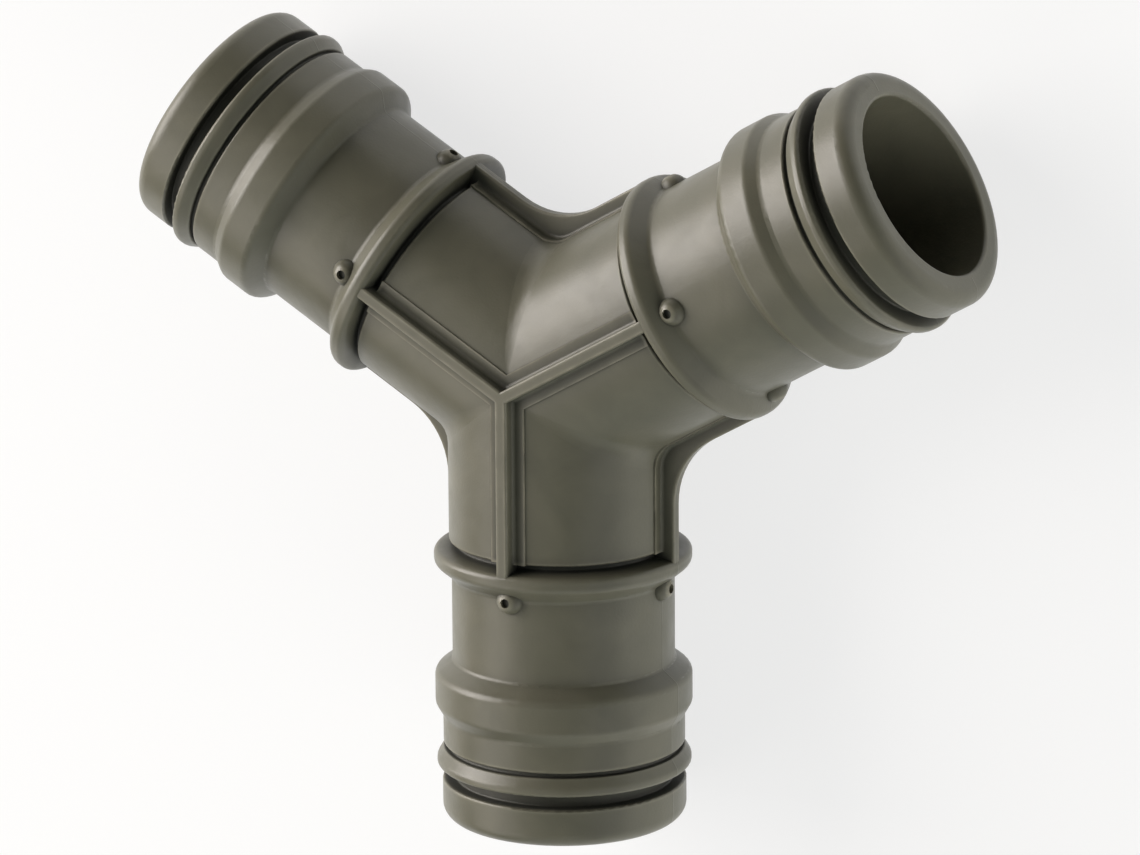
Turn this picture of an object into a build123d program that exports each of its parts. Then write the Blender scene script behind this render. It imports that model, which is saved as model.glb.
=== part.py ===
from build123d import *
import os
from math import atan2, hypot, sqrt, tan

# Equal Y connector for hose, moulded in one piece: three arms at 120 degrees in the XY plane.
# The origin is where the three bore axes cross. One arm lies along -Y. Each arm is drawn
# along +X, with "along" as the distance from the origin and "out" as the distance from its axis.

# ---- Driving dimensions, in millimetres and degrees ----

ARM_COUNT = 3
FIRST_ARM_ANGLE = -90.0     # from +X about +Z

# radii about an arm's axis
BORE_RADIUS = 16.0
HUB_RADIUS = 19.4
HUB_GROOVE_RADIUS = 18.0
COLLAR_RADIUS = 22.0
LAND_RADIUS = 19.0          # the hose seats and is clamped here
BARB_RADIUS = 22.0
NECK_RADIUS = 20.7
SNAP_GROOVE_RADIUS = 19.8   # narrow groove before the ridge
RIDGE_FOOT_RADIUS = 20.7
RIDGE_RADIUS = 21.8
END_GROOVE_RADIUS = 18.6
LIP_RADIUS = 20.9

# lengths along an arm, from the crossing outwards
HUB_LENGTH = 29.0
HUB_GROOVE_WIDTH = 1.0
COLLAR_RISE = 0.6           # hub side of the collar, steep
COLLAR_CREST = 2.2
COLLAR_FALL = 2.5           # hose side of the collar, sloping
LAND_LENGTH = 14.7
BARB_RISE = 2.3             # the face that holds the hose on
BARB_CREST = 5.4
BARB_FALL = 2.2
NECK_LENGTH = 5.0
SNAP_GROOVE_WIDTH = 0.8
RIDGE_RISE = 1.8            # cone up to the ridge's crest
RIDGE_CREST = 1.3
END_GROOVE_WIDTH = 2.5
LIP_LENGTH = 6.9

# roundings of the arm's outline, and of the creases between arms
EDGE_ROUNDING = 0.35
CREASE_ROUNDING = 5.0       # where two hub tubes meet
COLLAR_EDGE_ROUNDING = 1.0  # hub side of the crest
COLLAR_ROUNDING = 1.4       # hose side of the crest
COLLAR_FOOT_ROUNDING = 1.2
BARB_FOOT_ROUNDING = 0.8
BARB_ROUNDING = 1.6
NECK_ROUNDING = 1.6
RIDGE_ROUNDING = 1.2
GROOVE_FLOOR_ROUNDING = 0.3
NOSE_ROUNDING = 2.5
MOUTH_ROUNDING = 0.6        # bore edge at the end of the arm

# ribs along the front, back and both sides of each hub tube
RIB_TOP = 21.8              # distance from the arm's axis to the rib's top
RIB_WIDTH = 2.1
RIB_ROOT_ROUNDING = 0.6
RIB_EDGE_ROUNDING = 0.35
STRIP_WIDTH = 6.4           # low step that carries the rib
STRIP_STEP = 0.3            # height of the step's edge over the hub tube
CROTCH_RADIUS = 14.0        # rounds the angle between the side ribs of two arms

# round pads at the collar's foot, one in line with each rib
PAD_RADIUS = 2.4
PAD_OFFSET = 0.3            # from the collar's foot to the pad's middle
PAD_SINK = 0.5              # from the land down to the centre of the pad's dome
PAD_DIMPLE_RADIUS = 0.8
PAD_DIMPLE_DEPTH = 0.9

# ---- Places that follow from them ----

COLLAR_START = HUB_LENGTH + HUB_GROOVE_WIDTH
LAND_START = COLLAR_START + COLLAR_RISE + COLLAR_CREST + COLLAR_FALL
BARB_START = LAND_START + LAND_LENGTH
NECK_START = BARB_START + BARB_RISE + BARB_CREST + BARB_FALL
SNAP_GROOVE_START = NECK_START + NECK_LENGTH
RIDGE_START = SNAP_GROOVE_START + SNAP_GROOVE_WIDTH
END_GROOVE_START = RIDGE_START + RIDGE_RISE + RIDGE_CREST
LIP_START = END_GROOVE_START + END_GROOVE_WIDTH
ARM_LENGTH = LIP_START + LIP_LENGTH
ARM_TURNS = [Rot(0, 0, FIRST_ARM_ANGLE + 360 / ARM_COUNT * index) for index in range(ARM_COUNT)]
RIB_SIDES = (0, 90, 180, 270)
RIB_LENGTH = COLLAR_START + COLLAR_RISE + COLLAR_CREST / 2    # ends inside the collar
STRIP_TOP = sqrt(HUB_RADIUS**2 - (STRIP_WIDTH / 2) ** 2) + STRIP_STEP


def corner_limit(before, corner, after):
    """Largest rounding that fits a corner, using up to half of its shorter side."""
    back = (before[0] - corner[0], before[1] - corner[1])
    ahead = (after[0] - corner[0], after[1] - corner[1])
    cross = back[0] * ahead[1] - back[1] * ahead[0]
    dot = back[0] * ahead[0] + back[1] * ahead[1]
    opening = abs(atan2(cross, dot))
    return 0.49 * min(hypot(*back), hypot(*ahead)) * tan(opening / 2)


def rounded_face(corners):
    """Flat face through (x, y, rounding) corners, each rounded by its own radius if it has one."""
    face = make_face(Polyline([(x, y) for x, y, _ in corners], close=True))
    for index, (x, y, rounding) in enumerate(corners):
        if rounding:
            limit = corner_limit(corners[index - 1], (x, y), corners[(index + 1) % len(corners)])
            vertex = face.vertices().sort_by_distance((x, y))[0]
            face = fillet(vertex, min(rounding, limit))
    return face


def arm_outline():
    """Half section of one arm, solid to its axis, as (along, out, rounding) corners."""
    collar_crest = COLLAR_START + COLLAR_RISE
    barb_crest = BARB_START + BARB_RISE
    ridge_crest = RIDGE_START + RIDGE_RISE
    return [
        (0, 0, 0),
        (0, HUB_RADIUS, 0),
        (HUB_LENGTH, HUB_RADIUS, EDGE_ROUNDING),
        (HUB_LENGTH, HUB_GROOVE_RADIUS, GROOVE_FLOOR_ROUNDING),
        (COLLAR_START, HUB_GROOVE_RADIUS, GROOVE_FLOOR_ROUNDING),
        (collar_crest, COLLAR_RADIUS, COLLAR_EDGE_ROUNDING),
        (collar_crest + COLLAR_CREST, COLLAR_RADIUS, COLLAR_ROUNDING),
        (LAND_START, LAND_RADIUS, COLLAR_FOOT_ROUNDING),
        (BARB_START, LAND_RADIUS, BARB_FOOT_ROUNDING),
        (barb_crest, BARB_RADIUS, BARB_ROUNDING),
        (barb_crest + BARB_CREST, BARB_RADIUS, BARB_ROUNDING),
        (NECK_START, NECK_RADIUS, NECK_ROUNDING),
        (SNAP_GROOVE_START, NECK_RADIUS, EDGE_ROUNDING),
        (SNAP_GROOVE_START, SNAP_GROOVE_RADIUS, GROOVE_FLOOR_ROUNDING),
        (RIDGE_START, SNAP_GROOVE_RADIUS, GROOVE_FLOOR_ROUNDING),
        (RIDGE_START, RIDGE_FOOT_RADIUS, EDGE_ROUNDING),
        (ridge_crest, RIDGE_RADIUS, RIDGE_ROUNDING),
        (END_GROOVE_START, RIDGE_RADIUS, RIDGE_ROUNDING),
        (END_GROOVE_START, END_GROOVE_RADIUS, GROOVE_FLOOR_ROUNDING),
        (LIP_START, END_GROOVE_RADIUS, GROOVE_FLOOR_ROUNDING),
        (LIP_START, LIP_RADIUS, EDGE_ROUNDING),
        (ARM_LENGTH, LIP_RADIUS, NOSE_ROUNDING),
        (ARM_LENGTH, 0, 0),
    ]


def arm_body():
    """One arm without ribs or bore: its outline turned about X."""
    return revolve(rounded_face(arm_outline()), Axis.X, 360)


def hub_and_arms():
    """The three arms without ribs or bores, with the creases between the hub tubes rounded."""
    body = arm_body()
    arms = together([turn * body for turn in ARM_TURNS])
    return fillet(arms.edges().filter_by(GeomType.ELLIPSE), CREASE_ROUNDING)


def together(shapes):
    """One shape from overlapping ones, added one after another."""
    whole = shapes[0]
    for shape in shapes[1:]:
        whole += shape
    return whole


def y_plate(half_width, half_height, length, crotch_rounding=0):
    """Flat plate with one bar along each arm; the angles between the bars can be rounded."""
    bar = Rectangle(length, 2 * half_width, align=(Align.MIN, Align.CENTER))
    outline = together([turn * bar for turn in ARM_TURNS])
    if crotch_rounding:
        crotches = outline.vertices().sort_by_distance((0, 0, 0))[:ARM_COUNT]
        outline = fillet(crotches, crotch_rounding)
    return extrude(outline, half_height, both=True)


def rib_frame(ribs, strips, root_offset, root_height):
    """Rib plate and strip plate as one, with the ribs' edges and the lines at their feet rounded."""
    rims = ribs.edges().group_by(Axis.Z)
    frame = fillet(rims[0] + rims[-1], RIB_EDGE_ROUNDING) + strips
    feet = [
        (turn * Pos(HUB_LENGTH - RIB_ROOT_ROUNDING, across, up)).position
        for turn in ARM_TURNS
        for across in (-root_offset, root_offset)
        for up in (-root_height, root_height)
    ]
    roots = [frame.edges().sort_by_distance(foot)[0] for foot in feet]
    return fillet(roots, RIB_ROOT_ROUNDING)


def front_ribs():
    """Ribs on the front and back of the hub tubes, as one frame that runs through them."""
    ribs = y_plate(RIB_WIDTH / 2, RIB_TOP, RIB_LENGTH)
    strips = y_plate(STRIP_WIDTH / 2, STRIP_TOP, HUB_LENGTH)
    return rib_frame(ribs, strips, RIB_WIDTH / 2, STRIP_TOP)


def side_ribs():
    """Ribs on both sides of the hub tubes, joined round each crotch, as one frame."""
    ribs = y_plate(RIB_TOP, RIB_WIDTH / 2, RIB_LENGTH, CROTCH_RADIUS)
    strips = y_plate(STRIP_TOP, STRIP_WIDTH / 2, HUB_LENGTH, CREASE_ROUNDING)
    return rib_frame(ribs, strips, STRIP_TOP, RIB_WIDTH / 2)


def pad_dome():
    """Round pad on the +Z side, half sunk in the collar's sloping side."""
    return Pos(LAND_START + PAD_OFFSET, 0, LAND_RADIUS - PAD_SINK) * Sphere(PAD_RADIUS)


def pad_dimple():
    """Cutter for the small blind dimple in the middle of a pad."""
    floor = LAND_RADIUS - PAD_SINK + PAD_RADIUS - PAD_DIMPLE_DEPTH
    return Pos(LAND_START + PAD_OFFSET, 0, floor + PAD_RADIUS) * Cylinder(PAD_DIMPLE_RADIUS, 2 * PAD_RADIUS)


def bore():
    """Cutter for one arm's bore, flared by a rounding at the arm's mouth."""
    outside = BORE_RADIUS + 2 * MOUTH_ROUNDING
    section = rounded_face([
        (0, 0, 0),
        (0, BORE_RADIUS, 0),
        (ARM_LENGTH, BORE_RADIUS, MOUTH_ROUNDING),
        (ARM_LENGTH, outside, 0),
        (ARM_LENGTH + MOUTH_ROUNDING, outside, 0),
        (ARM_LENGTH + MOUTH_ROUNDING, 0, 0),
    ])
    return revolve(section, Axis.X, 360)


def y_connector():
    """The whole moulding: arms, ribs and pads put together, then the bores and dimples cut out."""
    sides = [turn * Rot(quarter, 0, 0) for turn in ARM_TURNS for quarter in RIB_SIDES]
    dome = pad_dome()
    domes = [side * dome for side in sides]
    solid = together([hub_and_arms(), front_ribs(), side_ribs()] + domes)
    for shape, places in ((bore(), ARM_TURNS), (pad_dimple(), sides)):
        for place in places:
            solid -= place * shape
    return solid


connector = y_connector()
os.makedirs("parts", exist_ok=True)
export_step(connector, "parts/y_connector.step")
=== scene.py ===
import math

import bpy
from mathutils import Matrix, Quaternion, Vector


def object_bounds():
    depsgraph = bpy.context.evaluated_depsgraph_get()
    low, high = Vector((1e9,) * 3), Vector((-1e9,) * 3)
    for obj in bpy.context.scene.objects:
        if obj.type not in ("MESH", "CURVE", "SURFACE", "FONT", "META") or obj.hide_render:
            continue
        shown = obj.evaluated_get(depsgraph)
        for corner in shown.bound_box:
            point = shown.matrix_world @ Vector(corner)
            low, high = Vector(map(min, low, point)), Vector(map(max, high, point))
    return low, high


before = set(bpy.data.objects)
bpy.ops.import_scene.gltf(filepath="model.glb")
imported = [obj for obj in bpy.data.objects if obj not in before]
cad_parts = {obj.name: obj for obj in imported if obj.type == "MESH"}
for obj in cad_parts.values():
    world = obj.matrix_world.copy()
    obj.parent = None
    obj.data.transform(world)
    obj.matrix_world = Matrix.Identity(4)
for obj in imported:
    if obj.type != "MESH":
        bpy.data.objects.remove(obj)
cad_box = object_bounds()

# ---- The connector ----
# One injection moulding: the hub with its ribs, the three collars and the three barbed hose tails.
# Glass-filled nylon, olive grey right through. The mould's halves part at half the height, and
# three cores that meet in the hub leave the bores, so the bores carry no parting line.

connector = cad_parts["y_connector"]

NYLON = "#5F5E50"
NYLON_PALE = "#696758"          # where the melt cooled against a hotter patch of the mould
NYLON_GRIME_AND_SHADE = "#2F302A"         # grime and painted shade in the grooves
NYLON_EDGE_HIGHLIGHT = "#8C8877"        # painted highlight along the outer edges
NYLON_IOR = 1.53
SHINY, DULL = 0.31, 0.41        # roughness of the shiniest and the dullest patch
GRIME_DULLS = 0.25              # what grime adds to the roughness
CLOUD = 0.011                   # metres, as all down to OUTSIDE: width of one flow cloud
CLOUD_DEPTH = 0.00035           # of the ripple under a cloud, a quarter of which shows
SMUDGE = 0.0042                 # width of one patch of changed gloss
GRAIN = 0.00045                 # width of one pit of the eroded mould, drawn twice as coarse to show
GRAIN_DEPTH = 0.00004           # of one pit, six tenths of which show
EDGE_HIGHLIGHT_REACH = 0.0008            # how far the painted edge highlight reaches from an edge
GROOVE_REACH = 0.0035           # walls nearer to each other than this hold grime and painted shade between them
PARTING_LINE = 0.00016          # half width of the line where the mould's halves met
PARTING_HEIGHT = 0.00008        # how far that line stands proud, half of which shows
OUTSIDE = 0.017                 # further from an arm's axis than this, at half height, is outside
ARM_STEP = math.radians(120)    # the arms stand at 30, 150 and 270 degrees
FIRST_ARM = math.radians(30)
NOISE_LOW, NOISE_HIGH = 0.3, 0.7    # a noise seldom leaves this range
EDGE_STARTS, EDGE_FULL = 0.93, 0.68     # openness of the skin, seen from inside, at an edge
GROOVE_STARTS, GROOVE_FULL = 0.92, 0.38     # the same, seen from outside, in a groove


def linear(hex_colour):
    """sRGB hex to the linear RGBA that shader sockets take."""
    channels = [int(hex_colour[i:i + 2], 16) / 255 for i in (1, 3, 5)]
    return [c / 12.92 if c <= 0.04045 else ((c + 0.055) / 1.055) ** 2.4 for c in channels] + [1.0]


def add_node(tree, kind, settings=None, inputs=None):
    """A node with its settings, and its inputs set to values or linked from other sockets."""
    node = tree.nodes.new(kind)
    for name, value in (settings or {}).items():
        setattr(node, name, value)
    for name, value in (inputs or {}).items():
        if isinstance(value, bpy.types.NodeSocket):
            tree.links.new(value, node.inputs[name])
        else:
            node.inputs[name].default_value = value
    return node


# Glass-filled nylon from a spark-eroded mould: a satin skin with a soft wide highlight, a very
# fine grain, faint clouds where the melt flowed, dull patches, grooves darkened with grime and
# painted shade, and a painted highlight along the edges.
plastic = bpy.data.materials.new("moulded_glass_filled_nylon")
plastic.use_nodes = True
tree = plastic.node_tree
tree.nodes.clear()

place = add_node(tree, "ShaderNodeTexCoord").outputs["Object"]
axes = add_node(tree, "ShaderNodeSeparateXYZ", None, {0: place})

clouds = add_node(tree, "ShaderNodeTexNoise", None,
                  {"Vector": place, "Scale": 1 / CLOUD, "Detail": 3.0, "Roughness": 0.55,
                   "Distortion": 0.6})
smudges = add_node(tree, "ShaderNodeTexNoise", None,
                   {"Vector": place, "Scale": 1 / SMUDGE, "Detail": 4.0, "Roughness": 0.6})
grain = add_node(tree, "ShaderNodeTexNoise", None,
                 {"Vector": place, "Scale": 1 / GRAIN, "Detail": 2.0, "Roughness": 0.5})

# edges, for the painted highlight: looking inwards, an outer edge meets the skin again close by; the
# smudges break it up
inward = add_node(tree, "ShaderNodeAmbientOcclusion",
                  {"samples": 8, "only_local": True, "inside": True}, {"Distance": EDGE_HIGHLIGHT_REACH})
edge = add_node(tree, "ShaderNodeMapRange", None,
                {"Value": inward.outputs["AO"], "From Min": EDGE_STARTS, "From Max": EDGE_FULL})
patchy = add_node(tree, "ShaderNodeMapRange", None,
                  {"Value": smudges.outputs["Fac"], "From Min": NOISE_LOW, "From Max": 0.65,
                   "To Min": 0.25, "To Max": 0.9})
edge_highlight = add_node(tree, "ShaderNodeMath", {"operation": "MULTIPLY"},
                  {0: edge.outputs["Result"], 1: patchy.outputs["Result"]})

# grooves, for grime and painted shade: looking outwards, a deep corner sees mostly its own walls
hollow = add_node(tree, "ShaderNodeAmbientOcclusion", {"samples": 8, "only_local": True},
                  {"Distance": GROOVE_REACH})
groove = add_node(tree, "ShaderNodeMapRange", None,
                  {"Value": hollow.outputs["AO"], "From Min": GROOVE_STARTS, "From Max": GROOVE_FULL})

# parting line: half height, outside only; an arm's axis is found from the angle about the crossing
bearing = add_node(tree, "ShaderNodeMath", {"operation": "ARCTAN2"},
                   {0: axes.outputs["Y"], 1: axes.outputs["X"]})
from_arm = add_node(tree, "ShaderNodeMath", {"operation": "WRAP"},
                    {0: bearing.outputs["Value"], 1: FIRST_ARM + ARM_STEP / 2,
                     2: FIRST_ARM - ARM_STEP / 2})
turn = add_node(tree, "ShaderNodeMath", {"operation": "SUBTRACT"},
                {0: from_arm.outputs["Value"], 1: FIRST_ARM})
lean = add_node(tree, "ShaderNodeMath", {"operation": "SINE"}, {0: turn.outputs["Value"]})
reach = add_node(tree, "ShaderNodeVectorMath", {"operation": "LENGTH"}, {0: place})
across = add_node(tree, "ShaderNodeMath", {"operation": "MULTIPLY"},
                  {0: reach.outputs["Value"], 1: lean.outputs["Value"]})
aside = add_node(tree, "ShaderNodeMath", {"operation": "ABSOLUTE"}, {0: across.outputs["Value"]})
outside = add_node(tree, "ShaderNodeMath", {"operation": "GREATER_THAN"},
                   {0: aside.outputs["Value"], 1: OUTSIDE})
height = add_node(tree, "ShaderNodeMath", {"operation": "ABSOLUTE"}, {0: axes.outputs["Z"]})
line = add_node(tree, "ShaderNodeMapRange", None,
                {"Value": height.outputs["Value"], "From Min": PARTING_LINE, "From Max": 0.0})
seam = add_node(tree, "ShaderNodeMath", {"operation": "MULTIPLY"},
                {0: line.outputs["Result"], 1: outside.outputs["Value"]})

# colour: clouds, then grime and painted shade in the grooves, then a painted highlight on the edges
# over both
cloudy = add_node(tree, "ShaderNodeMapRange", None,
                  {"Value": clouds.outputs["Fac"], "From Min": NOISE_LOW, "From Max": NOISE_HIGH})
flowed = add_node(tree, "ShaderNodeMix", {"data_type": "RGBA"},
                  {"Factor": cloudy.outputs["Result"], "A": linear(NYLON), "B": linear(NYLON_PALE)})
# painted shade and grime: the colour goes much darker in the grooves and corners
grime_and_shade = add_node(tree, "ShaderNodeMix", {"data_type": "RGBA"},
                 {"Factor": groove.outputs["Result"], "A": flowed.outputs["Result"],
                  "B": linear(NYLON_GRIME_AND_SHADE)})
# painted highlight: the outer edges turn pale, broken up in patches
highlighted = add_node(tree, "ShaderNodeMix", {"data_type": "RGBA"},
                {"Factor": edge_highlight.outputs["Value"], "A": grime_and_shade.outputs["Result"],
                 "B": linear(NYLON_EDGE_HIGHLIGHT)})

# gloss: patchy, and duller where grime lies
gloss = add_node(tree, "ShaderNodeMapRange", None,
                 {"Value": smudges.outputs["Fac"], "From Min": NOISE_LOW, "From Max": NOISE_HIGH,
                  "To Min": SHINY, "To Max": DULL})
dulled = add_node(tree, "ShaderNodeMath", {"operation": "MULTIPLY_ADD"},
                  {0: groove.outputs["Result"], 1: GRIME_DULLS, 2: gloss.outputs["Result"]})

# skin: grain, shallow ripples under the clouds, and the parting line
grained = add_node(tree, "ShaderNodeBump", None,
                   {"Strength": 0.6, "Distance": GRAIN_DEPTH, "Height": grain.outputs["Fac"]})
rippled = add_node(tree, "ShaderNodeBump", None,
                   {"Strength": 0.25, "Distance": CLOUD_DEPTH, "Height": clouds.outputs["Fac"],
                    "Normal": grained.outputs["Normal"]})
seamed = add_node(tree, "ShaderNodeBump", None,
                  {"Strength": 0.5, "Distance": PARTING_HEIGHT, "Height": seam.outputs["Value"],
                   "Normal": rippled.outputs["Normal"]})

shader = add_node(tree, "ShaderNodeBsdfPrincipled", None,
                  {"Base Color": highlighted.outputs["Result"], "Roughness": dulled.outputs["Value"],
                   "IOR": NYLON_IOR, "Normal": seamed.outputs["Normal"]})
add_node(tree, "ShaderNodeOutputMaterial", None, {"Surface": shader.outputs["BSDF"]})
connector.data.materials.clear()
connector.data.materials.append(plastic)

# ---- The table ----
# A level board, painted matt white, that the connector lies loose on. The collars and the barbs are
# its widest rings, so it rests on those six, and the board reaches past every view.

TABLE_WHITE = "#F2F2F0"
TABLE_REACH = 6.0               # metres from the middle to each edge
WHITENED = 0.75                 # how much of the full white is mixed in for what looks at the table

table_height = cad_box[0][2]
table_mesh = bpy.data.meshes.new("table")
corners = ((-1, -1), (1, -1), (1, 1), (-1, 1))
table_mesh.from_pydata([(x * TABLE_REACH, y * TABLE_REACH, table_height) for x, y in corners],
                       [], [(0, 1, 2, 3)])
table = bpy.data.objects.new("table", table_mesh)
bpy.context.scene.collection.objects.link(table)

# Matt white paint: no highlight. What looks at it straight, or by a mirror or through glass, sees
# it whiter than the lamps make it, and the connector's shadow on it stays.
paint = bpy.data.materials.new("matt_white_paint")
paint.use_nodes = True
tree = paint.node_tree
tree.nodes.clear()
seen = add_node(tree, "ShaderNodeLightPath")
by_mirror = add_node(tree, "ShaderNodeMath", {"operation": "MAXIMUM"},
                     {0: seen.outputs["Is Camera Ray"], 1: seen.outputs["Is Glossy Ray"]})
by_glass = add_node(tree, "ShaderNodeMath", {"operation": "MAXIMUM"},
                    {0: by_mirror.outputs["Value"], 1: seen.outputs["Is Transmission Ray"]})
whitened = add_node(tree, "ShaderNodeMath", {"operation": "MULTIPLY"},
                    {0: by_glass.outputs["Value"], 1: WHITENED})
coat = add_node(tree, "ShaderNodeBsdfDiffuse", None, {"Color": linear(TABLE_WHITE)})
glow = add_node(tree, "ShaderNodeEmission", None, {"Color": linear("#FFFFFF"), "Strength": 1.0})
mixed = add_node(tree, "ShaderNodeMixShader", None,
                 {0: whitened.outputs["Value"], 1: coat.outputs["BSDF"], 2: glow.outputs["Emission"]})
add_node(tree, "ShaderNodeOutputMaterial", None, {"Surface": mixed.outputs["Shader"]})
table_mesh.materials.append(paint)

# ---- Light ----
# Square softboxes round the connector, left being -X, faintly warm or faintly cool. Those on the
# left give the long highlights. The two strong ones on the right light the far sides and stay out
# of the gloss, and weak ones fill in from the right edge, the -Y arm and straight above.

WARM = "#FFF9F5"
COOL = "#F6FFFC"
ROOM_LIGHT = 0.02               # strength of the white light from all round
LAMPS = {
    # name: (direction from the connector, metres away, width, watts, colour, seen in the gloss)
    "left_softbox": ((-0.785, 0.295, 0.5), 1.2, 1.0, 19.0, WARM, True),
    "left_edge": ((-0.95, 0.25, 0.15), 1.2, 1.0, 5.0, WARM, True),
    "left_near": ((-0.55, -0.48, 0.67), 1.2, 0.8, 3.2, WARM, True),
    "right_softbox": ((0.75, -0.55, 0.35), 1.2, 1.0, 4.0, COOL, False),
    "right_low": ((0.9, -0.4, 0.12), 1.2, 1.0, 8.0, WARM, False),
    "right_edge": ((0.93, 0.28, 0.12), 1.2, 1.0, 1.0, COOL, True),
    "stem_fill": ((0.1, -0.93, 0.35), 1.2, 1.0, 1.5, COOL, True),
    "top_fill": ((0.0, 0.0, 1.0), 1.4, 1.0, 1.0, COOL, True),
}
for name, (direction, distance, width, watts, colour, glossy) in LAMPS.items():
    lamp = bpy.data.lights.new(name, "AREA")
    lamp.shape, lamp.size, lamp.energy, lamp.color = "SQUARE", width, watts, linear(colour)[:3]
    holder = bpy.data.objects.new(name, lamp)
    holder.location = Vector(direction).normalized() * distance
    holder.rotation_mode = "QUATERNION"
    holder.rotation_quaternion = (-holder.location).to_track_quat("-Z", "Y")
    holder.visible_glossy = glossy
    bpy.context.scene.collection.objects.link(holder)

world = bpy.data.worlds.new("studio")
world.use_nodes = True
room = world.node_tree.nodes["Background"]
room.inputs["Color"].default_value = linear("#FFFFFF")
room.inputs["Strength"].default_value = ROOM_LIGHT
bpy.context.scene.world = world
bpy.context.scene.view_settings.view_transform = "Standard"

# ---- Camera ----
# A long lens on the +X side, 1.2 m from the connector and nearly 60 degrees above the table,
# aimed close to the crossing of the arms and rolled about its own axis.

CAMERA_PLACE = Vector((0.5452, 0.2904, 1.0057))
CAMERA_AIM = Vector((0.0015, -0.0097, 0.0))
CAMERA_ROLL = math.radians(-115.56)
LENS = 220.5                    # mm, on a sensor 36 mm wide
SENSOR = 36

camera_data = bpy.data.cameras.new("camera")
camera_data.lens = LENS
camera_data.sensor_width = SENSOR
camera = bpy.data.objects.new("camera", camera_data)
camera.location = CAMERA_PLACE
camera.rotation_mode = "QUATERNION"
level = (CAMERA_AIM - CAMERA_PLACE).to_track_quat("-Z", "Y")
camera.rotation_quaternion = level @ Quaternion((0, 0, 1), CAMERA_ROLL)
bpy.context.scene.collection.objects.link(camera)
bpy.context.scene.camera = camera
